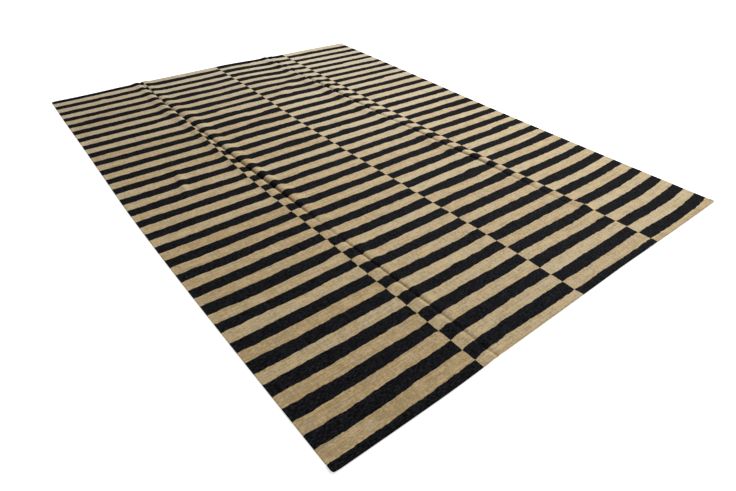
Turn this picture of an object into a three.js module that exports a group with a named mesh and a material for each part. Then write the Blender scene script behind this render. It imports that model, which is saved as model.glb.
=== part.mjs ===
// A flat-woven wool rug laid out on a floor: one thin cloth, nearly rectangular, with plain
// turned-under ends and plain side edges. It has two storage creases along its length, each a
// narrow valley between two soft shoulders, a few low lifts, and slightly bowed edges.
// Millimetres. X runs across the rug, Y along it towards the far end, Z up. The origin is on
// the floor, under the middle of the rug's box.
// Places on the cloth are given as distances from its left edge and from its far end.

import * as THREE from "three";

// Driving dimensions
const WIDTH = 2500;
const LENGTH = 3430;
const THICKNESS = 3;
const CORNER_RADIUS = 14;

// How far the two long edges stand out from the plain rectangle.
const LONG_EDGES = table(
  ["fromFar", "left", "right"],
  [
    [0, -20, 38],
    [350, -11, 34],
    [800, -4, 27],
    [1250, 5, 18],
    [1700, 14, 5],
    [2250, 13, -3],
    [2800, 5, -3],
    [LENGTH, -8, 2],
  ],
);

// How far the two ends stand out from the plain rectangle.
const END_EDGES = table(
  ["fromLeft", "far", "near"],
  [
    [0, -17, 0],
    [300, -8, 5],
    [500, 8, 7],
    [800, 22, 3],
    [1150, 30, 2],
    [1350, 34, 1],
    [1600, 25, 0],
    [1850, 13, 3],
    [2150, 14, 5],
    [WIDTH, 6, 6],
  ],
);

// The two creases: where the valley runs, and for the shoulder on each side its crest's height,
// the crest's distance from the valley, and the width of the slope outside the crest.
const CREASE_COLUMNS = [
  "fromFar", "valley",
  "leftCrest", "leftReach", "leftFoot", "rightCrest", "rightReach", "rightFoot",
];
const LEFT_CREASE = table(CREASE_COLUMNS, [
  [0, 643, 7, 30, 50, 6, 40, 50],
  [370, 648, 8, 27, 60, 6, 30, 50],
  [620, 650, 11, 38, 65, 8, 40, 75],
  [870, 655, 10, 22, 55, 10, 52, 55],
  [1120, 661, 7, 28, 45, 9, 32, 60],
  [1370, 663, 8, 26, 55, 11, 34, 62],
  [1620, 667, 6, 30, 55, 13, 33, 50],
  [1870, 677, 6, 22, 65, 16, 33, 43],
  [2120, 687, 6, 24, 70, 11, 28, 66],
  [2370, 694, 3, 25, 50, 3, 30, 50],
  [2620, 702, 5, 24, 55, 6, 22, 75],
  [2870, 710, 5, 22, 60, 6, 22, 55],
  [3150, 722, 5, 20, 60, 5, 24, 50],
  [LENGTH, 729, 3, 18, 45, 3, 24, 45],
]);
const RIGHT_CREASE = table(CREASE_COLUMNS, [
  [0, 1747, 6, 28, 50, 4, 26, 36],
  [370, 1752, 6, 28, 55, 4, 28, 38],
  [620, 1757, 8, 22, 85, 6, 28, 55],
  [870, 1762, 10, 23, 80, 13, 34, 55],
  [1120, 1766, 9, 28, 55, 9, 30, 58],
  [1370, 1769, 8, 31, 60, 10, 30, 55],
  [1620, 1778, 5, 30, 55, 6, 24, 50],
  [1870, 1789, 7, 28, 65, 10, 28, 50],
  [2120, 1799, 10, 34, 65, 8, 26, 50],
  [2370, 1814, 2, 28, 50, 13, 30, 42],
  [2620, 1822, 4, 28, 45, 8, 36, 40],
  [2870, 1831, 3, 30, 45, 6, 42, 40],
  [3150, 1838, 1, 27, 50, 2, 35, 50],
  [LENGTH, 1842, 1, 24, 50, 1, 26, 55],
]);
const CREASES = [LEFT_CREASE, RIGHT_CREASE];

// Half the width of a valley's flat bottom, and how much steeper a slope starts there than it
// would run straight to the crest.
const VALLEY_FLAT = 3;
const CREASE_SHARPNESS = 3;

// Low lifts of the cloth: a broad swell at the far end, a slanting wrinkle that runs from it
// towards the right crease, a pucker in the left column and a small one at the far left, a short
// one beside the left crease, a swell and a pinch at the right crease's near end, and three small
// bumps near the middle of the near end. The turn is how far a lift's long axis leans from the
// rug's length towards its right.
const LIFTS = table(
  ["fromLeft", "fromFar", "height", "halfWidth", "halfLength", "turnDegrees"],
  [
    [1370, 480, 8, 330, 850, 0],
    [1500, 710, 6, 55, 380, 47],
    [312, 1590, 9, 36, 220, 11],
    [320, 175, 4, 45, 80, 0],
    [748, 2340, 4, 14, 60, 0],
    [1845, 3200, 5, 100, 350, 0],
    [1880, 3045, 8, 40, 55, 0],
    [1455, 2915, 9, 45, 50, 0],
    [1225, 2840, 6, 60, 50, 0],
    [995, 2965, 8, 60, 50, 0],
  ],
);

// Where the cloth's mesh has its lines: across the rug, between the creases and closer over
// the lifts, and along it; and its steps over each slope of a crease, up to the crest and down.
const PANEL_LINES = [
  [100, 200, 274, 293, 312, 331, 350, 450],
  [930, 995, 1060, 1140, 1225, 1310, 1400, 1455, 1510, 1590],
  [2020, 2140, 2260, 2380],
];
const ROW_LINES = [
  CORNER_RADIUS, 80, 175, 270, 370, 470, 545, 600, 650, 700, 750, 800, 860, 950, 1060, 1170, 1280,
  1360, 1430, 1480, 1530, 1580, 1630, 1680, 1730, 1800, 1900, 2000, 2110, 2220, 2330, 2450, 2570,
  2700, 2790, 2840, 2890, 2930, 2965, 3005, 3045, 3100, 3210, 3320, LENGTH - CORNER_RADIUS,
];
const CLIMB_STEPS = 3;
const FOOT_STEPS = 2;

const CLOTH = new THREE.MeshStandardMaterial({ color: 0xb3a184, roughness: 0.95, metalness: 0 });

// A table's rows, each with its values under the columns' names.
function table(columns, rows) {
  return rows.map((row) => Object.fromEntries(columns.map((name, i) => [name, row[i]])));
}

// One column's value at a place between a table's rows, on a smooth curve through them. The
// first column is the place.
function read(rows, column, place) {
  const placeColumn = Object.keys(rows[0])[0];
  const last = rows.length - 1;
  const from = THREE.MathUtils.clamp(rows.findLastIndex((row) => row[placeColumn] <= place), 0, last - 1);
  const slopeAt = (i) => {
    const before = rows[Math.max(i - 1, 0)];
    const after = rows[Math.min(i + 1, last)];
    return (after[column] - before[column]) / (after[placeColumn] - before[placeColumn]);
  };
  const start = rows[from];
  const end = rows[from + 1];
  const span = end[placeColumn] - start[placeColumn];
  const t = THREE.MathUtils.clamp((place - start[placeColumn]) / span, 0, 1);
  const eased = t * t * (3 - 2 * t);
  const startBulge = slopeAt(from) * span * t * (1 - t) ** 2;
  const endBulge = slopeAt(from + 1) * span * t * t * (1 - t);
  return start[column] + (end[column] - start[column]) * eased + startBulge - endBulge;
}

// A crease's sizes at a distance from the far end.
function creaseAt(crease, fromFar) {
  return Object.fromEntries(CREASE_COLUMNS.map((column) => [column, read(crease, column, fromFar)]));
}

// The height of a crease's shoulder at a distance from the valley: steeply up from its flat
// bottom and over the crest, then softly down.
function shoulderHeight(distance, crest, reach, foot) {
  const climb = THREE.MathUtils.clamp((distance - VALLEY_FLAT) / (reach - VALLEY_FLAT), 0, 1);
  const inside = 1 - (1 - climb) ** CREASE_SHARPNESS;
  const outside = 1 - THREE.MathUtils.smoothstep(distance, reach, reach + foot);
  return crest * inside * outside;
}

function creaseHeight(crease, fromLeft, fromFar) {
  const size = creaseAt(crease, fromFar);
  const offset = fromLeft - size.valley;
  return offset < 0
    ? shoulderHeight(-offset, size.leftCrest, size.leftReach, size.leftFoot)
    : shoulderHeight(offset, size.rightCrest, size.rightReach, size.rightFoot);
}

// A lift is an oval mound, round at the top and running out level.
function liftHeight(lift, fromLeft, fromFar) {
  const offset = new THREE.Vector2(fromLeft - lift.fromLeft, lift.fromFar - fromFar);
  offset.rotateAround(new THREE.Vector2(), THREE.MathUtils.degToRad(lift.turnDegrees));
  const reach = Math.hypot(offset.x / lift.halfWidth, offset.y / lift.halfLength);
  return lift.height * (1 - THREE.MathUtils.smoothstep(reach, 0, 1));
}

// How high the cloth's underside is above the floor, which it lies on wherever nothing lifts it.
function heightAt(fromLeft, fromFar) {
  let height = 0;
  for (const crease of CREASES) {
    height += creaseHeight(crease, fromLeft, fromFar);
  }
  for (const lift of LIFTS) {
    height += liftHeight(lift, fromLeft, fromFar);
  }
  return Math.max(height, 0);
}

// How far from the valley the mesh's lines over one side of a crease lie: closer together near
// the valley, where the slope is steepest.
function slopeLines(reach, foot) {
  const climb = Array.from(
    { length: CLIMB_STEPS + 1 },
    (_, step) => VALLEY_FLAT + (reach - VALLEY_FLAT) * (step / CLIMB_STEPS) ** 2,
  );
  const descent = Array.from({ length: FOOT_STEPS }, (_, step) => reach + (foot * (step + 1)) / FOOT_STEPS);
  return [...climb, ...descent];
}

// The mesh's places over a crease, from left to right.
function creaseLines(crease, fromFar) {
  const size = creaseAt(crease, fromFar);
  const left = slopeLines(size.leftReach, size.leftFoot).map((distance) => size.valley - distance);
  const right = slopeLines(size.rightReach, size.rightFoot).map((distance) => size.valley + distance);
  return [...left.reverse(), size.valley, ...right];
}

// All the mesh's places across the rug, from its left edge to its right edge.
function linesAcross(fromFar) {
  const leftEdge = -read(LONG_EDGES, "left", fromFar);
  const rightEdge = WIDTH + read(LONG_EDGES, "right", fromFar);
  return [
    leftEdge,
    leftEdge + CORNER_RADIUS,
    ...PANEL_LINES[0],
    ...creaseLines(LEFT_CREASE, fromFar),
    ...PANEL_LINES[1],
    ...creaseLines(RIGHT_CREASE, fromFar),
    ...PANEL_LINES[2],
    rightEdge - CORNER_RADIUS,
    rightEdge,
  ];
}

// A row's distance from the far end, with the two ends' unevenness shared out along the rug.
function bentRow(row, fromLeft) {
  const along = row / LENGTH;
  const far = read(END_EDGES, "far", fromLeft);
  const near = read(END_EDGES, "near", fromLeft);
  return row - far * (1 - along) + near * along;
}

// The grid of the cloth's underside, row by row from the far end, as [fromLeft, fromFar].
function clothGrid() {
  const rows = [0, ...ROW_LINES, LENGTH];
  const grid = rows.map((row) => linesAcross(row).map((fromLeft) => [fromLeft, bentRow(row, fromLeft)]));
  const cornerInset = CORNER_RADIUS * (1 - Math.SQRT1_2);
  const inward = [1, -1];
  for (const [end, rowAtEnd] of [grid[0], grid[grid.length - 1]].entries()) {
    for (const [side, corner] of [rowAtEnd[0], rowAtEnd[rowAtEnd.length - 1]].entries()) {
      corner[0] += inward[side] * cornerInset;
      corner[1] += inward[end] * cornerInset;
    }
  }
  return grid;
}

// The outline of the grid as places in its list of points, clockwise seen from above.
function outline(rowCount, lineCount) {
  const lastRow = rowCount - 1;
  const lastLine = lineCount - 1;
  const lines = Array.from({ length: lastLine }, (_, line) => line);
  const rows = Array.from({ length: lastRow }, (_, row) => row);
  return [
    ...lines,
    ...rows.map((row) => row * lineCount + lastLine),
    ...lines.map((line) => lastRow * lineCount + lastLine - line),
    ...rows.map((row) => (lastRow - row) * lineCount),
  ];
}

// The closed cloth: the underside, the same points a thickness higher, and the edge between.
function clothGeometry() {
  const grid = clothGrid();
  const rowCount = grid.length;
  const lineCount = grid[0].length;
  const layer = rowCount * lineCount;
  const positions = [];
  for (const lift of [0, THICKNESS]) {
    for (const [fromLeft, fromFar] of grid.flat()) {
      positions.push(fromLeft, -fromFar, heightAt(fromLeft, fromFar) + lift);
    }
  }
  const indices = [];
  for (let row = 0; row < rowCount - 1; row++) {
    for (let line = 0; line < lineCount - 1; line++) {
      const a = row * lineCount + line;
      const b = a + 1;
      const c = a + lineCount;
      const d = c + 1;
      indices.push(a, b, c, b, d, c);
      indices.push(a + layer, c + layer, b + layer, b + layer, c + layer, d + layer);
    }
  }
  const loop = outline(rowCount, lineCount);
  loop.forEach((here, i) => {
    const next = loop[(i + 1) % loop.length];
    indices.push(here, here + layer, next, next, here + layer, next + layer);
  });
  const geometry = new THREE.BufferGeometry();
  geometry.setAttribute("position", new THREE.Float32BufferAttribute(positions, 3));
  geometry.setIndex(indices);
  geometry.computeBoundingBox();
  const middle = geometry.boundingBox.getCenter(new THREE.Vector3());
  geometry.translate(-middle.x, -middle.y, 0);
  geometry.computeVertexNormals();
  return geometry;
}

const rug = new THREE.Mesh(clothGeometry(), CLOTH);
rug.name = "rug";

const model = new THREE.Group();
model.add(rug);

export default model;
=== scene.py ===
"""A flat-woven wool rug with plain stripes in alternating columns, laid out on a pale floor.

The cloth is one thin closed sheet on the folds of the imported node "rug", with both ends turned
under and its sides rounded. Metres, in the part's frame: X across the rug, Y towards its far
end, Z up. Places on the cloth are distances from its left edge and from its far end.
"""

from math import pi, radians

import bpy
import numpy as np
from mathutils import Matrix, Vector


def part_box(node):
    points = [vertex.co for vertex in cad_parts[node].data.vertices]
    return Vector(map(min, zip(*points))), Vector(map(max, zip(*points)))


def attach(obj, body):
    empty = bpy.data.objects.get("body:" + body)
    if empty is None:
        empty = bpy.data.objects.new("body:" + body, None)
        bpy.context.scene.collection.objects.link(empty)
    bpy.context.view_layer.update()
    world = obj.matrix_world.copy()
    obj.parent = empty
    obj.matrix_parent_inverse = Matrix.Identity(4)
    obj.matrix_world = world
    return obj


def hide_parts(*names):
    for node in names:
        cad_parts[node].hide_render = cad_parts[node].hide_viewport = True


# The cloth
WIDTH = 2.5
LENGTH = 3.43
THICKNESS = 0.003
CORNER_RADIUS = 0.014

# The turned-under ends: how deep the hem is, how thick its under layer is pressed, the gap
# between the layers, how far the upper layer takes to come down to the floor, the fold's radius,
# and how far along the rug a rounded corner reaches.
HEM_DEPTH = 0.022
HEM_THICKNESS = 0.0024
HEM_GAP = 0.0003
HEM_RAMP = 0.012
END_RADIUS = (HEM_THICKNESS + HEM_GAP + THICKNESS) / 2
CORNER_FADE = 0.06

# The sides: how far in the rounding reaches, the share of the thickness left at the very edge,
# and the thicker cord along it.
SIDE_RADIUS = 0.0018
SIDE_EDGE_SHARE = 0.25
CORD_WIDTH = 0.007
CORD_HEIGHT = 0.0007

# The mesh: the steps along an end's under layer, round its fold, along its upper layer and down
# to the floor; the lines beside a side; the steps down each slope of a crease; the main rows
# along the rug; and for the three panels beside the creases how far each stretch runs and its
# steps. The last stretch of a panel runs on to its end.
UNDER_STEPS = 4
BEND_STEPS = 8
UPPER_STEPS = 3
RAMP_STEPS = 4
SIDE_LINES = [0.0, 0.0003, 0.0009, 0.0018, 0.0035, 0.0055, 0.0075]
SLOPE_STEPS = 7
MAIN_ROWS = 206
PANELS = [
    [(0.27, 15), (0.375, 13), (None, 11)],
    [(1.33, 24), (None, 22)],
    [(None, 31)],
]
SHARP_ANGLE = radians(70)

# The slight cockling of the cloth between its folds: crossing waves, with their lengths from
# shortest to longest
COCKLE_SEED = 7
COCKLE_WAVES = 14
COCKLE_LENGTHS = (0.09, 0.40)
COCKLE_HEIGHT = 0.0008


def table(columns, rows):
    """A table's columns as arrays, under their names."""
    return dict(zip(columns, np.array(rows, float).T))


# How far the two long edges stand out from the plain rectangle.
LONG_EDGES = table(
    ["from_far", "left", "right"],
    [
        [0, -0.020, 0.038],
        [0.35, -0.011, 0.034],
        [0.80, -0.004, 0.027],
        [1.25, 0.005, 0.018],
        [1.70, 0.014, 0.005],
        [2.25, 0.013, -0.003],
        [2.80, 0.005, -0.003],
        [LENGTH, -0.008, 0.002],
    ],
)

# How far the two ends stand out from the plain rectangle.
END_EDGES = table(
    ["from_left", "far", "near"],
    [
        [0, -0.017, 0],
        [0.30, -0.008, 0.005],
        [0.50, 0.008, 0.007],
        [0.80, 0.022, 0.003],
        [1.15, 0.030, 0.002],
        [1.35, 0.034, 0.001],
        [1.60, 0.025, 0],
        [1.85, 0.013, 0.003],
        [2.15, 0.014, 0.005],
        [WIDTH, 0.006, 0.006],
    ],
)

# The two storage creases: where the valley runs, and for the shoulder on each side its crest's
# height, the crest's distance from the valley, and the width of the slope outside the crest.
CREASE_COLUMNS = [
    "from_far", "valley",
    "left_crest", "left_reach", "left_foot", "right_crest", "right_reach", "right_foot",
]
LEFT_CREASE = table(
    CREASE_COLUMNS,
    [
        [0, 0.643, 0.007, 0.030, 0.050, 0.006, 0.040, 0.050],
        [0.37, 0.648, 0.008, 0.027, 0.060, 0.006, 0.030, 0.050],
        [0.62, 0.650, 0.011, 0.038, 0.065, 0.008, 0.040, 0.075],
        [0.87, 0.655, 0.010, 0.022, 0.055, 0.010, 0.052, 0.055],
        [1.12, 0.661, 0.007, 0.028, 0.045, 0.009, 0.032, 0.060],
        [1.37, 0.663, 0.008, 0.026, 0.055, 0.011, 0.034, 0.062],
        [1.62, 0.667, 0.006, 0.030, 0.055, 0.013, 0.033, 0.050],
        [1.87, 0.677, 0.006, 0.022, 0.065, 0.016, 0.033, 0.043],
        [2.12, 0.687, 0.006, 0.024, 0.070, 0.011, 0.028, 0.066],
        [2.37, 0.694, 0.003, 0.025, 0.050, 0.003, 0.030, 0.050],
        [2.62, 0.702, 0.005, 0.024, 0.055, 0.006, 0.022, 0.075],
        [2.87, 0.710, 0.005, 0.022, 0.060, 0.006, 0.022, 0.055],
        [3.15, 0.722, 0.005, 0.020, 0.060, 0.005, 0.024, 0.050],
        [LENGTH, 0.729, 0.003, 0.018, 0.045, 0.003, 0.024, 0.045],
    ],
)
RIGHT_CREASE = table(
    CREASE_COLUMNS,
    [
        [0, 1.747, 0.006, 0.028, 0.050, 0.004, 0.026, 0.036],
        [0.37, 1.752, 0.006, 0.028, 0.055, 0.004, 0.028, 0.038],
        [0.62, 1.757, 0.008, 0.022, 0.085, 0.006, 0.028, 0.055],
        [0.87, 1.762, 0.010, 0.023, 0.080, 0.013, 0.034, 0.055],
        [1.12, 1.766, 0.009, 0.028, 0.055, 0.009, 0.030, 0.058],
        [1.37, 1.769, 0.008, 0.031, 0.060, 0.010, 0.030, 0.055],
        [1.62, 1.778, 0.005, 0.030, 0.055, 0.006, 0.024, 0.050],
        [1.87, 1.789, 0.007, 0.028, 0.065, 0.010, 0.028, 0.050],
        [2.12, 1.799, 0.010, 0.034, 0.065, 0.008, 0.026, 0.050],
        [2.37, 1.814, 0.002, 0.028, 0.050, 0.013, 0.030, 0.042],
        [2.62, 1.822, 0.004, 0.028, 0.045, 0.008, 0.036, 0.040],
        [2.87, 1.831, 0.003, 0.030, 0.045, 0.006, 0.042, 0.040],
        [3.15, 1.838, 0.001, 0.027, 0.050, 0.002, 0.035, 0.050],
        [LENGTH, 1.842, 0.001, 0.024, 0.050, 0.001, 0.026, 0.055],
    ],
)
CREASES = [LEFT_CREASE, RIGHT_CREASE]
VALLEY_FLAT = 0.003
CREASE_SHARPNESS = 3

# Low lifts: a broad swell at the far end, a slanting wrinkle, a pucker in the left column and a
# small one at the far left, a short one beside the left crease, a swell and a pinch at the right
# crease's near end, and three small bumps near the middle of the near end. The turn is how far
# the long axis leans to the rug's right.
LIFT_COLUMNS = ["from_left", "from_far", "height", "half_width", "half_length", "turn"]
LIFTS = [
    dict(zip(LIFT_COLUMNS, row))
    for row in [
        [1.370, 0.480, 0.008, 0.330, 0.850, 0],
        [1.500, 0.710, 0.006, 0.055, 0.380, radians(47)],
        [0.312, 1.590, 0.009, 0.036, 0.220, radians(11)],
        [0.320, 0.175, 0.004, 0.045, 0.080, 0],
        [0.748, 2.340, 0.004, 0.014, 0.060, 0],
        [1.845, 3.200, 0.005, 0.100, 0.350, 0],
        [1.880, 3.045, 0.008, 0.040, 0.055, 0],
        [1.455, 2.915, 0.009, 0.045, 0.050, 0],
        [1.225, 2.840, 0.006, 0.060, 0.050, 0],
        [0.995, 2.965, 0.008, 0.060, 0.050, 0],
    ]
]

# The pattern: the stripes' pitch, how much of the first one shows, the row that the turned-under
# far end stays above, and where the lines between the four columns run.
STRIPE_PITCH = 0.06119
FIRST_STRIPE_SHARE = 0.543
LEAST_ROW = 0.2
COLUMN_WIDTH = 0.62
COLUMN_LINES = table(
    ["from_far", "first", "second", "third"],
    [
        [0.09, 0.663, 1.269, 1.894],
        [0.39, 0.648, 1.269, 1.890],
        [0.69, 0.651, 1.268, 1.885],
        [1.01, 0.644, 1.263, 1.884],
        [1.32, 0.634, 1.254, 1.878],
        [1.63, 0.625, 1.254, 1.875],
        [1.94, 0.626, 1.255, 1.877],
        [2.24, 0.637, 1.263, 1.880],
        [2.54, 0.642, 1.269, 1.878],
        [2.85, 0.643, 1.278, 1.883],
        [3.15, 0.650, 1.278, 1.884],
        [LENGTH, 0.656, 1.275, 1.887],
    ],
)

# How far the stripes bow towards the near end, at places from the left edge, row by row from
# the far end.
BOW_PLACES = [0, 0.3, 0.6, 0.8, 1.1, 1.3, 1.6, 1.95, 2.2, 2.38, 2.5]
BOW_ROWS = [0.05, 0.5, 1.0, 1.5, 2.0, 2.5, 3.0, 3.4]
STRIPE_BOW = [
    [0.031, 0.024, 0.008, 0.010, 0.004, -0.007, 0, 0.021, 0.023, 0.030, 0.035],
    [0.020, 0.012, 0.005, 0.002, -0.004, -0.007, 0.002, 0.015, 0.028, 0.032, 0.034],
    [0.015, 0.013, 0.012, 0.006, -0.007, -0.009, -0.008, 0.002, 0.009, 0.011, 0.013],
    [0.015, 0.011, 0.013, 0.008, 0.005, 0.001, 0.004, 0.007, 0.012, 0.014, 0.015],
    [0.019, 0.017, 0.015, 0.006, 0.006, 0.002, -0.001, 0.004, 0.008, 0.009, 0.010],
    [0.013, 0.013, 0.005, 0.005, 0.005, 0.003, 0.002, 0.005, 0.009, 0.006, 0.001],
    [0.002, 0.007, 0.003, -0.002, -0.002, -0.004, 0.001, 0.007, 0.010, 0.004, -0.004],
    [-0.002, 0.001, -0.005, -0.013, -0.012, -0.008, -0.005, 0.001, 0.008, 0.003, -0.009],
]

# Stripes' edges that stray by themselves: which edge, counted from the far end, from where to
# where, and how far towards the near end. Each stray fades out around its start and end, and
# towards the next edges.
STRAYS = table(
    ["edge", "start", "end", "shift"],
    [
        [1, 0.67, 1.14, -0.009],
        [1, 1.27, 1.56, 0.010],
        [1, 1.90, 2.18, -0.006],
        [3, 1.27, 1.80, 0.012],
        [4, 1.16, 1.27, 0.012],
        [5, 1.01, 1.08, -0.009],
        [5, 1.27, 1.75, 0.010],
        [7, 0.77, 0.92, -0.009],
        [7, 1.27, 1.68, 0.009],
        [8, 0.12, 0.25, -0.010],
        [8, 2.21, 2.55, -0.011],
        [9, 1.08, 1.18, -0.008],
        [10, 1.57, 1.66, -0.014],
        [12, 0.53, 0.65, -0.012],
        [12, 0.77, 1.27, 0.009],
        [12, 1.59, 1.68, -0.008],
        [13, 0.49, 0.60, -0.014],
        [14, 0.89, 1.16, -0.015],
        [14, 1.49, 1.66, -0.011],
        [15, 0.74, 1.00, -0.009],
        [16, 1.06, 1.25, 0.009],
        [16, 2.27, 2.55, -0.016],
        [17, 0.77, 1.01, -0.015],
        [17, 1.15, 1.26, -0.011],
        [19, 0.96, 1.09, -0.014],
        [20, 1.08, 1.25, 0.008],
        [21, 0.79, 1.04, -0.008],
        [21, 1.27, 1.66, 0.007],
        [24, 1.26, 1.34, -0.013],
        [25, 0.98, 1.10, -0.009],
        [26, 1.39, 1.46, -0.009],
        [26, 1.95, 2.27, 0.008],
        [28, 2.27, 2.55, 0.009],
        [30, 2.29, 2.55, 0.008],
        [35, 2.24, 2.55, -0.014],
        [36, 2.33, 2.55, -0.009],
        [38, 1.63, 1.74, -0.008],
        [39, 2.39, 2.55, -0.009],
        [40, 1.66, 1.74, -0.009],
        [41, 1.42, 1.70, 0.007],
        [43, 0.10, 0.56, 0.007],
        [46, 1.98, 2.55, 0.007],
    ],
)
STRAY_FADE = 0.025

# The wool's colours: beige in three near shades and a paler one, also used for painted sheen,
# black and the brown of its painted sheen, and the brown of the painted shade in a crease.
BEIGE = (0.565, 0.436, 0.246)
BEIGE_BROWN = (0.585, 0.426, 0.227)
BEIGE_GREY = (0.553, 0.439, 0.262)
BEIGE_PALE_AND_SHEEN = (0.585, 0.585, 0.535)
BLACK = (0.0084, 0.0088, 0.0104)
BLACK_SHEEN_BROWN = (0.012, 0.005, 0.001)
CREASE_SHADE_BROWN = (0.42, 0.24, 0.085)

# The painted shade in the two creases, on the shaded slope: how strong it is, how far right of
# the valley, how far it reaches, and the crest's height from which it is at its full.
CREASE_SHADES = [0.75, 0.25]
CREASE_SHADE_OFFSET = 0.006
CREASE_SHADE_REACH = 0.008
FULL_SHADE_CREST = 0.012

# The wool's noises: the size of their grains across and along the rug, their detail and a seed
NOISES = {
    "drift": ((0.30, 0.06), 1.0, 3),
    "wander": ((0.045, 0.03), 2.0, 4),
    "tooth": ((0.004, 0.003), 1.0, 5),
    "column_wander": ((0.05, 0.03), 1.0, 9),
    "shade": ((0.30, 0.05), 3.0, 11),
    "tint": ((0.075, 0.028), 2.0, 13),
    "mottle": ((0.055, 0.024), 2.0, 15),
    "pick_streak": ((0.22, 0.008), 2.0, 17),
    "rib_streak": ((0.009, 0.07), 2.0, 18),
    "fleck": ((0.014, 0.004), 1.0, 19),
    "lint": ((0.005, 0.002), 3.0, 23),
    "fuzz": ((0.0012, 0.0008), 3.0, 29),
}
NOISE_ROUGHNESS = 0.55

# How far the stripes' edges wander, in stripes, and the column lines, in columns, and the place
# that no wandering line goes past, just short of the right edge of the last column
EDGE_WANDERS = {"drift": 0.09, "wander": 0.085, "tooth": 0.02}
COLUMN_WANDER = 0.006
LAST_COLUMN = 3.99

# How the wool varies: where a noise turns from one shade to the next, how beige's darkest and
# lightest wool differ from it, and how far each stripe and each noise moves the tone between
# them. Black's tones are shares of its brightness, which never falls below the least.
SHADE_RISE = (0.35, 0.65)
DARK_WOOL = (0.78, 0.76, 0.71)
LIGHT_WOOL = (1.22, 1.24, 1.29)
STRIPE_TINT = 0.25
STRIPE_TONE = 0.18
BEIGE_TONES = {"pick_streak": 0.75, "rib_streak": 0.50, "mottle": 0.60, "fleck": 1.10}
BLACK_TONES = {"fleck": 3.3, "mottle": 1.0}
BLACK_LEAST = 0.1
LINT_RISE = (0.68, 0.82)
LINT_SHARE = 0.12

# Where the middle of the rug starts and ends to be paler, and lighter with a painted pool of light,
# where the far right is darker with painted shade where the lamp falls off, and by how much
MIDDLE_RISE = (0.2, 1.5)
MIDDLE_FALL = (2.5, 1.7)
MIDDLE_PALE = 0.07
MIDDLE_LIGHT = 0.20
BLACK_MIDDLE_LIGHT = 0.25
FAR_RIGHT_ACROSS = (2.05, 2.5)
FAR_RIGHT_ALONG = (2.1, 1.3)
FAR_RIGHT_PAINTED_SHADE = 0.28

# The sheen painted into the colour at a low angle, the gloss, and the roughness from the
# smoothest to the fuzziest wool
SHEEN_RISE = 7.3
SHEEN_SHARPNESS = 8.0
SHEEN_MOST = 0.38
GLOSS = 0.06
ROUGHNESS = (0.82, 0.98)

# The weave: its ribs and picks, how low it is between them, its fuzz as a share of its height,
# and how deep it is
RIB_PITCH = 0.0042
PICK_PITCH = 0.0015
RIB_LOW = 0.35
PICK_LOW = 0.4
FUZZ_SHARE = 0.5
WEAVE_DEPTH = 0.0006

# The camera stands at the near left, as high as a standing person holds one.
CAMERA_PLACE = (-1.6889, -2.3854, 1.4323)
CAMERA_TURN = (52.777, -1.365, -38.428)
CAMERA_LENS = 25.13
CAMERA_REACH = 200
SENSOR_WIDTH = 36

# The lamp, the sky's strength as a light and as it is seen, and the floor: its side, how far it
# lies below the rug, and its white, with a glow that keeps it white where the lamp is far
KEY_PLACE = (5.0, 1.0, 5.4)
KEY_AIM = (0, 0.2, 0)
KEY_SIZE = (2.2, 1.6)
KEY_POWER = 600
SKY_STRENGTH = 0.2
SKY_SEEN = 1.0
FLOOR_SIDE = 60
FLOOR_GAP = 0.0002
FLOOR_WHITE = (0.9, 0.9, 0.9)
FLOOR_ROUGHNESS = 0.8
FLOOR_GLOW = 0.65


def smooth(places, values, at):
    """Values at some places, on a smooth curve through those at the given places. The values
    have a row for each given place, with one value for all or one for each place asked for."""
    places = np.asarray(places, float)
    at = np.asarray(at, float)
    values = np.asarray(values, float).reshape(len(places), -1)
    values = np.broadcast_to(values, (len(places), at.size))
    gaps = np.diff(places)[:, None]
    slopes = np.empty(values.shape)
    slopes[0] = (values[1] - values[0]) / gaps[0]
    slopes[-1] = (values[-1] - values[-2]) / gaps[-1]
    slopes[1:-1] = (values[2:] - values[:-2]) / (gaps[1:] + gaps[:-1])
    before = np.clip(np.searchsorted(places, at, side="right") - 1, 0, len(places) - 2)
    after = before + 1
    point = np.arange(at.size)
    span = places[after] - places[before]
    t = np.clip((at - places[before]) / span, 0, 1)
    eased = t * t * (3 - 2 * t)
    bulge = slopes[before, point] * t * (1 - t) ** 2 - slopes[after, point] * t * t * (1 - t)
    return values[before, point] * (1 - eased) + values[after, point] * eased + bulge * span


def read(rows, column, at):
    """A table's column at places in its first column, for an array of any shape."""
    at = np.asarray(at, float)
    first = next(iter(rows))
    return smooth(rows[first], rows[column], at.ravel()).reshape(at.shape)


def step(value, low, high):
    """0 below low, 1 above high, and a smooth rise between them."""
    t = np.clip((value - low) / (high - low), 0, 1)
    return t * t * (3 - 2 * t)


def shoulder_height(distance, crest, reach, foot):
    """A crease's shoulder at a distance from the valley: flat in the valley, steeply up and over
    the crest, then softly down."""
    climb = np.clip((distance - VALLEY_FLAT) / (reach - VALLEY_FLAT), 0, 1)
    inside = 1 - (1 - climb) ** CREASE_SHARPNESS
    outside = 1 - step(distance, reach, reach + foot)
    return crest * inside * outside


def crease_height(crease, from_left, from_far):
    size = {column: read(crease, column, from_far) for column in CREASE_COLUMNS[1:]}
    offset = from_left - size["valley"]
    left, right = (
        shoulder_height(np.abs(offset), *(size[f"{side}_{name}"] for name in ("crest", "reach", "foot")))
        for side in ("left", "right")
    )
    return np.where(offset < 0, left, right)


def lift_height(lift, from_left, from_far):
    """An oval mound, round at the top and running out level."""
    across = from_left - lift["from_left"]
    along = lift["from_far"] - from_far
    turned_across = across * np.cos(lift["turn"]) - along * np.sin(lift["turn"])
    turned_along = across * np.sin(lift["turn"]) + along * np.cos(lift["turn"])
    reach = np.hypot(turned_across / lift["half_width"], turned_along / lift["half_length"])
    return lift["height"] * (1 - step(reach, 0, 1))


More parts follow.
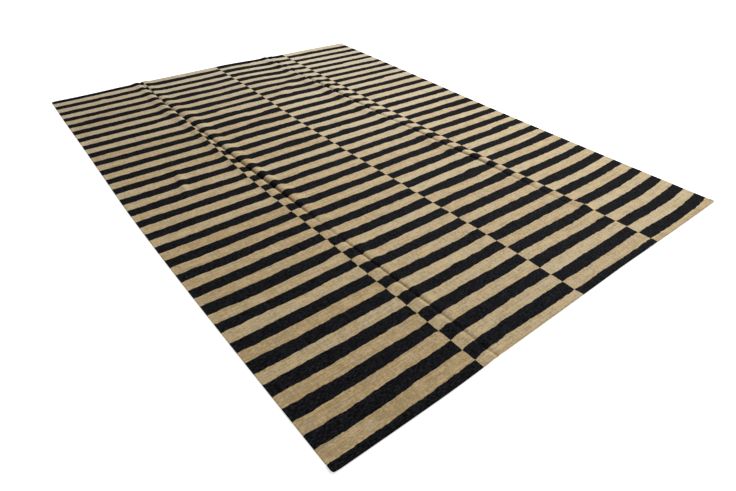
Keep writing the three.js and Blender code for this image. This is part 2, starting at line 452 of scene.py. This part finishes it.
def unevenness(from_left, from_far):
    """The slight cockling of a cloth that has been rolled and folded: a few crossing waves."""
    waves = np.random.default_rng(COCKLE_SEED)
    total = np.zeros_like(from_left)
    for _ in range(COCKLE_WAVES):
        length = waves.uniform(*COCKLE_LENGTHS)
        way = waves.uniform(0, pi)
        phase = waves.uniform(0, 2 * pi)
        total += np.sin(2 * pi * (from_left * np.cos(way) + from_far * np.sin(way)) / length + phase)
    return COCKLE_HEIGHT * (1 + total / np.sqrt(2 * COCKLE_WAVES)) / 2


def height_at(from_left, from_far):
    """How high the cloth's underside is above the floor."""
    height = sum(crease_height(crease, from_left, from_far) for crease in CREASES)
    height = height + sum(lift_height(lift, from_left, from_far) for lift in LIFTS)
    return np.maximum(height + unevenness(from_left, from_far), 0)


def end_profile():
    """The cloth's section at an end, from the hem's raw edge under the rug round the fold and up
    to where the upper layer meets the floor. Each station has the outer and the inner face's
    distance in from the end and height, and how far round the fold it is past the rug's tip."""
    inner_floor = HEM_THICKNESS + HEM_GAP
    top = 2 * END_RADIUS
    stations = []
    for inward in np.linspace(HEM_DEPTH, END_RADIUS, UNDER_STEPS + 1)[:-1]:
        past = END_RADIUS * pi + inward - END_RADIUS
        stations.append([inward, 0, inward, HEM_THICKNESS, past])
    for angle in np.linspace(-pi / 2, pi / 2, BEND_STEPS + 1):
        outer = [END_RADIUS * (1 - np.cos(angle)), END_RADIUS * (1 + np.sin(angle))]
        inner_radius = HEM_GAP / 2
        middle = HEM_THICKNESS + inner_radius
        inner = [END_RADIUS - inner_radius * np.cos(angle), middle + inner_radius * np.sin(angle)]
        stations.append([*outer, *inner, END_RADIUS * (pi / 2 - angle)])
    for inward in np.linspace(END_RADIUS, HEM_DEPTH, UPPER_STEPS + 1)[1:]:
        stations.append([inward, top, inward, inner_floor, 0])
    for inward in np.linspace(HEM_DEPTH, HEM_DEPTH + HEM_RAMP, RAMP_STEPS + 1)[1:]:
        down = step(inward, HEM_DEPTH, HEM_DEPTH + HEM_RAMP)
        stations.append([inward, top + (THICKNESS - top) * down, inward, inner_floor * (1 - down), 0])
    return np.array(stations)


def rows_along():
    """The mesh's rows from the hem at the far end to the hem at the near end: for the outer and
    the inner face the place along the rug and the height, then how far past the tip it is."""
    far = end_profile() * [1, 1, 1, 1, -1]
    near = far[::-1] * [-1, 1, -1, 1, -1] + [LENGTH, 0, LENGTH, 0, 0]
    inset = HEM_DEPTH + HEM_RAMP
    main = np.linspace(inset, LENGTH - inset, MAIN_ROWS)[1:-1]
    middle = np.stack([main, 0 * main + THICKNESS, main, 0 * main, 0 * main], 1)
    return np.concatenate([far, middle, near])


def end_recess(from_side, inward):
    """How far the rounded corners draw an end's edge in, fading out along the rug."""
    gap = np.clip(CORNER_RADIUS - from_side, 0, CORNER_RADIUS)
    recess = CORNER_RADIUS - np.sqrt(CORNER_RADIUS**2 - gap**2)
    return recess * (1 - step(inward, 0, CORNER_FADE))


def crease_lines(crease, rows):
    """The mesh's lines over a crease, for each row: closer together near the valley."""
    share = np.arange(1, SLOPE_STEPS + 1) / SLOPE_STEPS
    valley = read(crease, "valley", rows)[:, None]
    lines = [valley]
    for side, way in (("left", -1), ("right", 1)):
        reach = read(crease, f"{side}_reach", rows)[:, None]
        foot = read(crease, f"{side}_foot", rows)[:, None]
        climb = VALLEY_FLAT + (reach - VALLEY_FLAT) * np.append(0, share) ** 2
        lines += [valley + way * climb, valley + way * (reach + foot * share)]
    return np.sort(np.concatenate(lines, 1), 1)


def panel_lines(stretches, start, end):
    """The mesh's lines across a panel, without those at its start and end."""
    lines = []
    for stretch_end, steps in stretches:
        stop = end if stretch_end is None else np.full_like(end, stretch_end)
        lines.append(start + (stop - start) * np.arange(1, steps + 1) / steps)
        start = stop
    return np.concatenate(lines, 1)[:, :-1]


def lines_across(rows):
    """All the places across the rug, row by row, and each one's distance from the nearer side."""
    left = -read(LONG_EDGES, "left", rows)[:, None]
    right = WIDTH + read(LONG_EDGES, "right", rows)[:, None]
    sides = np.array(SIDE_LINES)
    lines = [left + sides]
    for panel, crease in zip(PANELS, [*CREASES, None]):
        after = right - sides[::-1] if crease is None else crease_lines(crease, rows)
        lines += [panel_lines(panel, lines[-1][:, -1:], after[:, :1]), after]
    lines = np.concatenate(lines, 1)
    return lines, np.minimum(lines - left, right - lines)


def bent(rows, from_left):
    """Rows' distances from the far end, with the two ends' unevenness shared out along the rug."""
    along = rows / LENGTH
    far, near = (read(END_EDGES, end, from_left) for end in ("far", "near"))
    return rows - far * (1 - along) + near * along


def side_profile(from_side):
    """How thick the cloth is near a side, as a share: rounded at its very edge."""
    gap = np.clip(1 - from_side / SIDE_RADIUS, 0, 1)
    return np.maximum(np.sqrt(1 - gap**2), SIDE_EDGE_SHARE)


def cord_rise(from_side):
    """How much higher the thicker cord along a side stands."""
    return CORD_HEIGHT * np.sin(np.clip(from_side / CORD_WIDTH, 0, 1) * pi) ** 2


def cloth_faces():
    """The outer and the inner face's points, as grids, and their places on the cloth."""
    rows = rows_along()
    lines, from_side = lines_across(np.clip(rows[:, 0], 0, LENGTH))
    faces, places = [], []
    for place, height in ((rows[:, 0:1], rows[:, 1:2]), (rows[:, 2:3], rows[:, 3:4])):
        inward = np.minimum(place, LENGTH - place)
        way = np.where(place < LENGTH / 2, 1, -1)
        place = place + way * end_recess(from_side, inward)
        from_far = bent(place, lines)
        faces.append(np.stack([lines, from_far, height_at(lines, from_far) + height], 2))
        places.append(from_far + rows[:, 4:5])
    outer, inner = faces
    middle = (outer + inner) / 2
    half = (outer - inner) / 2 * side_profile(from_side)[:, :, None]
    cord = cord_rise(from_side)[:, :, None] * half / np.linalg.norm(half, axis=2, keepdims=True)
    return middle + half + cord, middle - half, lines, places


def stripe_bow(from_left, from_far):
    across = [smooth(BOW_PLACES, row, from_left.ravel()) for row in STRIPE_BOW]
    return smooth(BOW_ROWS, across, from_far.ravel()).reshape(from_far.shape)


def strays(from_left, row):
    """How far towards the near end single stripe edges stray."""
    total = np.zeros_like(from_left)
    for edge, start, end, shift in zip(*STRAYS.values()):
        along = 1 - step(np.abs(row - edge), 0, 1)
        risen = step(from_left, start - STRAY_FADE, start + STRAY_FADE)
        fallen = step(from_left, end - STRAY_FADE, end + STRAY_FADE)
        total += shift * along * (risen - fallen)
    return total


def pattern_place(from_left, from_far):
    """Where a place on the cloth lies in the pattern: whole numbers are the lines between the
    columns and between the stripes."""
    first, second, third = (read(COLUMN_LINES, name, from_far) for name in ("first", "second", "third"))
    lines = [first - COLUMN_WIDTH, first, second, third, third + COLUMN_WIDTH]
    column = np.zeros_like(from_left)
    for start, end in zip(lines, lines[1:]):
        column += np.clip((from_left - start) / (end - start), 0, 1)
    row = (from_far - stripe_bow(from_left, from_far)) / STRIPE_PITCH + 1 - FIRST_STRIPE_SHARE
    row = row - strays(from_left, row) / STRIPE_PITCH
    return column, np.maximum(row, LEAST_ROW)


def painted_crease_shade(from_left, from_far):
    """How much shade is painted into the creases, from 0 to 1: most on the shaded slope right of the
    valley, and less where the crease is low."""
    crease_shade = np.zeros_like(from_left)
    for crease, most in zip(CREASES, CREASE_SHADES):
        gap = np.abs(from_left - read(crease, "valley", from_far) - CREASE_SHADE_OFFSET)
        folded = np.clip(read(crease, "right_crest", from_far) / FULL_SHADE_CREST, 0, 1)
        crease_shade += most * folded * (1 - step(gap, 0, CREASE_SHADE_REACH))
    return crease_shade


def add_vectors(mesh, name, vectors):
    attribute = mesh.attributes.new(name, "FLOAT_VECTOR", "POINT")
    attribute.data.foreach_set("vector", vectors.astype(np.float32).ravel())


def make_cloth(low, high):
    """The whole cloth as one closed sheet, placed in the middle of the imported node's box. Y grows
    towards the far end, so the distances from it are turned round."""
    outer, inner, lines, places = cloth_faces()
    row_count, line_count = lines.shape
    count = row_count * line_count
    points = np.concatenate([outer.reshape(-1, 3), inner.reshape(-1, 3)]) * [1, -1, 1]
    middle = (points.min(0) + points.max(0)) / 2
    points[:, 0] += (low.x + high.x) / 2 - middle[0]
    points[:, 1] += (low.y + high.y) / 2 - middle[1]
    points[:, 2] -= points[:, 2].min()

    grid = np.arange(count).reshape(row_count, line_count)
    corners = [grid[:-1, :-1], grid[1:, :-1], grid[1:, 1:], grid[:-1, 1:]]
    face = np.stack([c.ravel() for c in corners], 1)
    loop = np.concatenate([grid[0, :-1], grid[:-1, -1], grid[-1, :0:-1], grid[:0:-1, 0]])
    after = np.roll(loop, -1)
    edge = np.stack([loop, after, after + count, loop + count], 1)
    mesh = bpy.data.meshes.new("cloth")
    mesh.from_pydata(points, [], np.concatenate([face, face[:, ::-1] + count, edge]))
    mesh.shade_smooth()
    mesh.set_sharp_from_angle(angle=SHARP_ANGLE)

    across = np.concatenate([lines.ravel()] * 2)
    along = np.concatenate([place.ravel() for place in places])
    column, row = pattern_place(across, along)
    add_vectors(mesh, "cloth", np.stack([across, along, 0 * across], 1))
    # The pattern's third part is the painted shade in the creases.
    add_vectors(mesh, "pattern", np.stack([column, row, painted_crease_shade(across, along)], 1))
    uv = np.stack([across / WIDTH, 1 - (along + HEM_DEPTH) / (LENGTH + 2 * HEM_DEPTH)], 1)
    vertex = np.empty(len(mesh.loops), np.int32)
    mesh.loops.foreach_get("vertex_index", vertex)
    flat_map = mesh.uv_layers.new(name="OFBake")
    flat_map.uv.foreach_set("vector", np.clip(uv, 0, 1)[vertex].astype(np.float32).ravel())

    cloth = bpy.data.objects.new("rug_cloth", mesh)
    bpy.context.scene.collection.objects.link(cloth)
    return cloth


class Shader:
    """A material's nodes, added and linked by short calls. A value is a number, a colour or
    another node's output."""

    def __init__(self, name):
        self.material = bpy.data.materials.new(name)
        self.material.use_nodes = True
        self.nodes = self.material.node_tree.nodes
        self.nodes.clear()

    def add(self, kind, inputs, **settings):
        node = self.nodes.new(kind)
        for name, value in settings.items():
            setattr(node, name, value)
        for name, value in inputs.items():
            socket = node.inputs[name]
            if isinstance(value, bpy.types.NodeSocket):
                self.material.node_tree.links.new(value, socket)
            elif socket.type == "RGBA":
                socket.default_value = (*value, 1)
            else:
                socket.default_value = value
        return node

    def output(self, kind, inputs, **settings):
        """A new node's first output."""
        return self.add(kind, inputs, **settings).outputs[0]

    def math(self, operation, *values):
        return self.output("ShaderNodeMath", dict(enumerate(values)), operation=operation)

    def attribute(self, name):
        """A vector attribute of the mesh, and its three parts."""
        vector = self.add("ShaderNodeAttribute", {}, attribute_name=name).outputs["Vector"]
        parts = self.add("ShaderNodeSeparateXYZ", {0: vector}).outputs
        return vector, *parts

    def noise(self, vector, size, detail, seed):
        """Noise from 0 to 1 whose grains are about this size, across and along."""
        scale = (1 / size[0], 1 / size[1], 1)
        scaled = self.multiply(vector, scale)
        shift = (seed, 1.7 * seed, seed)
        placed = self.output("ShaderNodeVectorMath", {0: scaled, 1: shift}, operation="ADD")
        inputs = {"Vector": placed, "Scale": 1.0, "Detail": detail, "Roughness": NOISE_ROUGHNESS}
        return self.output("ShaderNodeTexNoise", inputs, noise_dimensions="2D")

    def spread(self, value, low, high):
        """A value from 0 to 1, spread between low and high."""
        return self.math("MULTIPLY_ADD", value, high - low, low)

    def rise(self, value, low, high):
        """0 below low, 1 above high, and a smooth rise between them."""
        inputs = {"Value": value, "From Min": low, "From Max": high}
        return self.output("ShaderNodeMapRange", inputs, interpolation_type="SMOOTHSTEP")

    def clamp(self, value, low, high):
        return self.output("ShaderNodeClamp", {"Value": value, "Min": low, "Max": high})

    def mix(self, share, first, second):
        inputs = {"Factor": share, 6: first, 7: second}
        return self.add("ShaderNodeMix", inputs, data_type="RGBA").outputs[2]

    def multiply(self, first, second):
        return self.output("ShaderNodeVectorMath", {0: first, 1: second}, operation="MULTIPLY")

    def dim(self, colour, share):
        return self.output("ShaderNodeVectorMath", {0: colour, "Scale": share}, operation="SCALE")

    def finish(self, surface):
        self.add("ShaderNodeOutputMaterial", {"Surface": surface})
        return self.material


def weave_height(shader, across, along):
    """The weft-faced weave as a height from 0 to 1: plump picks that pass over a rib and under
    the next, half a rib apart from one pick to the next."""
    pick = shader.math("DIVIDE", along, PICK_PITCH)
    odd_pick = shader.math("FLOORED_MODULO", shader.math("FLOOR", pick), 2.0)
    rib = shader.math("MULTIPLY_ADD", odd_pick, 0.5, shader.math("DIVIDE", across, RIB_PITCH))
    over, plump = (
        shader.math("POWER", shader.math("SINE", shader.math("MULTIPLY", place, pi)), 2.0)
        for place in (rib, pick)
    )
    return shader.math("MULTIPLY", shader.spread(over, RIB_LOW, 1.0), shader.spread(plump, PICK_LOW, 1.0))


def pattern_cell(shader, noise, column, row):
    """The numbers of the column and the stripe that a place is in. The stripes' edges wander as a
    hand beats them, and are a little rough close to."""
    for name, most in EDGE_WANDERS.items():
        row = shader.math("ADD", row, shader.spread(noise[name], -most, most))
    column_step = shader.spread(noise["column_wander"], -COLUMN_WANDER, COLUMN_WANDER)
    column = shader.clamp(shader.math("ADD", column, column_step), 0.0, LAST_COLUMN)
    return shader.math("FLOOR", column), shader.math("FLOOR", row)


def varied(shader, noise, tone, tones):
    """A tone, lighter and darker by each of the named noises."""
    for name, most in tones.items():
        tone = shader.math("ADD", tone, shader.spread(noise[name], -most, most))
    return tone


def beige_wool(shader, noise, cell, middle, far_right_shade):
    """Beige wool: three near shades, a paler middle of the rug lightened with painted light, a far
    right darkened with painted shade, and darker and lighter wool in each stripe, in patches, in
    thin streaks along the picks and down the ribs, and in flecks."""
    own_tone = shader.output("ShaderNodeTexWhiteNoise", {"Vector": cell}, noise_dimensions="2D")
    tint = shader.math("MULTIPLY_ADD", own_tone, -STRIPE_TINT, noise["tint"])
    low, high = SHADE_RISE
    beige = shader.mix(shader.rise(noise["shade"], low, high), BEIGE, BEIGE_GREY)
    brown = shader.rise(tint, low - STRIPE_TINT / 2, high - STRIPE_TINT / 2)
    beige = shader.mix(brown, beige, BEIGE_BROWN)
    beige = shader.mix(shader.math("MULTIPLY", middle, MIDDLE_PALE), beige, BEIGE_PALE_AND_SHEEN)
    tone = shader.spread(own_tone, 0.5 - STRIPE_TONE, 0.5 + STRIPE_TONE)
    # Painted light lightens the middle, and painted shade darkens the far right where the lamp falls off.
    tone = shader.math("MULTIPLY_ADD", middle, MIDDLE_LIGHT, tone)
    tone = shader.math("MULTIPLY_ADD", far_right_shade, -FAR_RIGHT_PAINTED_SHADE, tone)
    tone = varied(shader, noise, tone, BEIGE_TONES)
    return shader.multiply(beige, shader.mix(tone, DARK_WOOL, LIGHT_WOOL))


def black_wool(shader, noise, middle):
    """Black wool: flecked, with a little dust and pale lint, and lighter in the middle of the rug
    with painted light.
    """
    # Painted light lightens the black in the middle of the rug.
    tone = varied(shader, noise, shader.spread(middle, 1.0, 1.0 + BLACK_MIDDLE_LIGHT), BLACK_TONES)
    black = shader.dim(BLACK, shader.math("MAXIMUM", tone, BLACK_LEAST))
    lint = shader.rise(noise["lint"], *LINT_RISE)
    return shader.mix(shader.math("MULTIPLY", lint, LINT_SHARE), black, BEIGE_GREY)


def painted_low_sheen(shader):
    """How strong the sheen painted into the wool's colour is, which grows as the floor is seen at a
    lower angle.
    """
    level = shader.output("ShaderNodeCombineXYZ", {2: 1.0})
    facing = shader.add("ShaderNodeLayerWeight", {"Blend": 0.5, "Normal": level}).outputs["Facing"]
    painted_sheen = shader.math("MULTIPLY", shader.math("POWER", facing, SHEEN_SHARPNESS), SHEEN_RISE)
    return shader.math("MINIMUM", painted_sheen, SHEEN_MOST)


def wool_material():
    shader = Shader("wool")
    cloth, across, along, _ = shader.attribute("cloth")
    # The pattern's third part is how much shade is painted into the creases.
    _, column, row, crease_shade = shader.attribute("pattern")
    noise = {name: shader.noise(cloth, *values) for name, values in NOISES.items()}
    middle = shader.math("MULTIPLY", shader.rise(across, *MIDDLE_RISE), shader.rise(across, *MIDDLE_FALL))
    # The middle gets painted light and the far right painted shade.
    right = shader.rise(across, *FAR_RIGHT_ACROSS)
    far_right_shade = shader.math("MULTIPLY", right, shader.rise(along, *FAR_RIGHT_ALONG))

    # The stripes take turns along each column, and from one column to the next.
    column, row = pattern_cell(shader, noise, column, row)
    cell = shader.output("ShaderNodeCombineXYZ", {0: row, 1: column})
    beige_share = shader.math("FLOORED_MODULO", shader.math("ADD", row, column), 2.0)

    # Painted shade turns the creases' shaded slopes brown. A painted sheen makes beige paler and
    # black browner where the floor is seen at a low angle.
    painted_sheen = painted_low_sheen(shader)
    beige = shader.mix(crease_shade, beige_wool(shader, noise, cell, middle, far_right_shade), CREASE_SHADE_BROWN)
    beige = shader.mix(painted_sheen, beige, BEIGE_PALE_AND_SHEEN)
    black = shader.mix(painted_sheen, black_wool(shader, noise, middle), BLACK_SHEEN_BROWN)

    height = shader.math("MULTIPLY_ADD", noise["fuzz"], FUZZ_SHARE, weave_height(shader, across, along))
    bump = {"Height": height, "Distance": WEAVE_DEPTH, "Strength": 1.0}
    wool = {
        "Base Color": shader.mix(beige_share, black, beige),
        "Normal": shader.output("ShaderNodeBump", bump),
        "Roughness": shader.spread(noise["fuzz"], *ROUGHNESS),
        "Specular IOR Level": GLOSS,
    }
    return shader.finish(shader.output("ShaderNodeBsdfPrincipled", wool))


def make_floor():
    """A plain pale floor, light enough to stay white where the lamp is far."""
    half = FLOOR_SIDE / 2
    square = [(-half, -half, 0), (half, -half, 0), (half, half, 0), (-half, half, 0)]
    mesh = bpy.data.meshes.new("floor")
    mesh.from_pydata(square, [], [(0, 1, 2, 3)])
    shader = Shader("floor")
    paint = {
        "Base Color": FLOOR_WHITE,
        "Roughness": FLOOR_ROUGHNESS,
        "Specular IOR Level": 0.0,
        "Emission Color": (1, 1, 1),
        "Emission Strength": FLOOR_GLOW,
    }
    mesh.materials.append(shader.finish(shader.output("ShaderNodeBsdfPrincipled", paint)))
    floor = bpy.data.objects.new("floor", mesh)
    floor.location.z = -FLOOR_GAP
    bpy.context.scene.collection.objects.link(floor)
    return floor


def make_camera():
    data = bpy.data.cameras.new("camera")
    data.sensor_width = SENSOR_WIDTH
    data.lens = CAMERA_LENS
    data.clip_end = CAMERA_REACH
    camera = bpy.data.objects.new("camera", data)
    camera.location = CAMERA_PLACE
    camera.rotation_euler = [radians(turn) for turn in CAMERA_TURN]
    bpy.context.scene.collection.objects.link(camera)
    bpy.context.scene.camera = camera


def make_lights():
    """A broad soft light at the right, and an even sky that lights weakly but looks white."""
    data = bpy.data.lights.new("key", "AREA")
    data.shape = "RECTANGLE"
    data.size, data.size_y = KEY_SIZE
    data.energy = KEY_POWER
    key = bpy.data.objects.new("key", data)
    key.location = KEY_PLACE
    key.rotation_euler = (Vector(KEY_AIM) - Vector(KEY_PLACE)).to_track_quat("-Z", "Y").to_euler()
    bpy.context.scene.collection.objects.link(key)
    world = bpy.data.worlds.new("sky")
    world.use_nodes = True
    nodes, links = world.node_tree.nodes, world.node_tree.links
    background = nodes["Background"]
    background.inputs["Color"].default_value = (1, 1, 1, 1)
    strength = nodes.new("ShaderNodeMapRange")
    strength.inputs["To Min"].default_value = SKY_STRENGTH
    strength.inputs["To Max"].default_value = SKY_SEEN
    links.new(nodes.new("ShaderNodeLightPath").outputs["Is Camera Ray"], strength.inputs["Value"])
    links.new(strength.outputs["Result"], background.inputs["Strength"])
    bpy.context.scene.world = world


def corners(box):
    return [list(corner) for corner in box]


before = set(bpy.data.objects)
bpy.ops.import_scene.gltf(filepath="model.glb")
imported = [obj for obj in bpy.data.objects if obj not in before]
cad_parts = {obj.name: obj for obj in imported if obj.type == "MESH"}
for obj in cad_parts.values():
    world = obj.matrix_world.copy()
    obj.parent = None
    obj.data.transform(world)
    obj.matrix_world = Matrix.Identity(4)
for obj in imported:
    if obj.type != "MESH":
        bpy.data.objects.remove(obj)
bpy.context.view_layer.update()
make_camera()
make_lights()
floor = make_floor()

cloth = make_cloth(*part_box("rug"))
cloth.data.materials.append(wool_material())
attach(cloth, "root")
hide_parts("rug")

bpy.context.scene.view_settings.view_transform = "Standard"
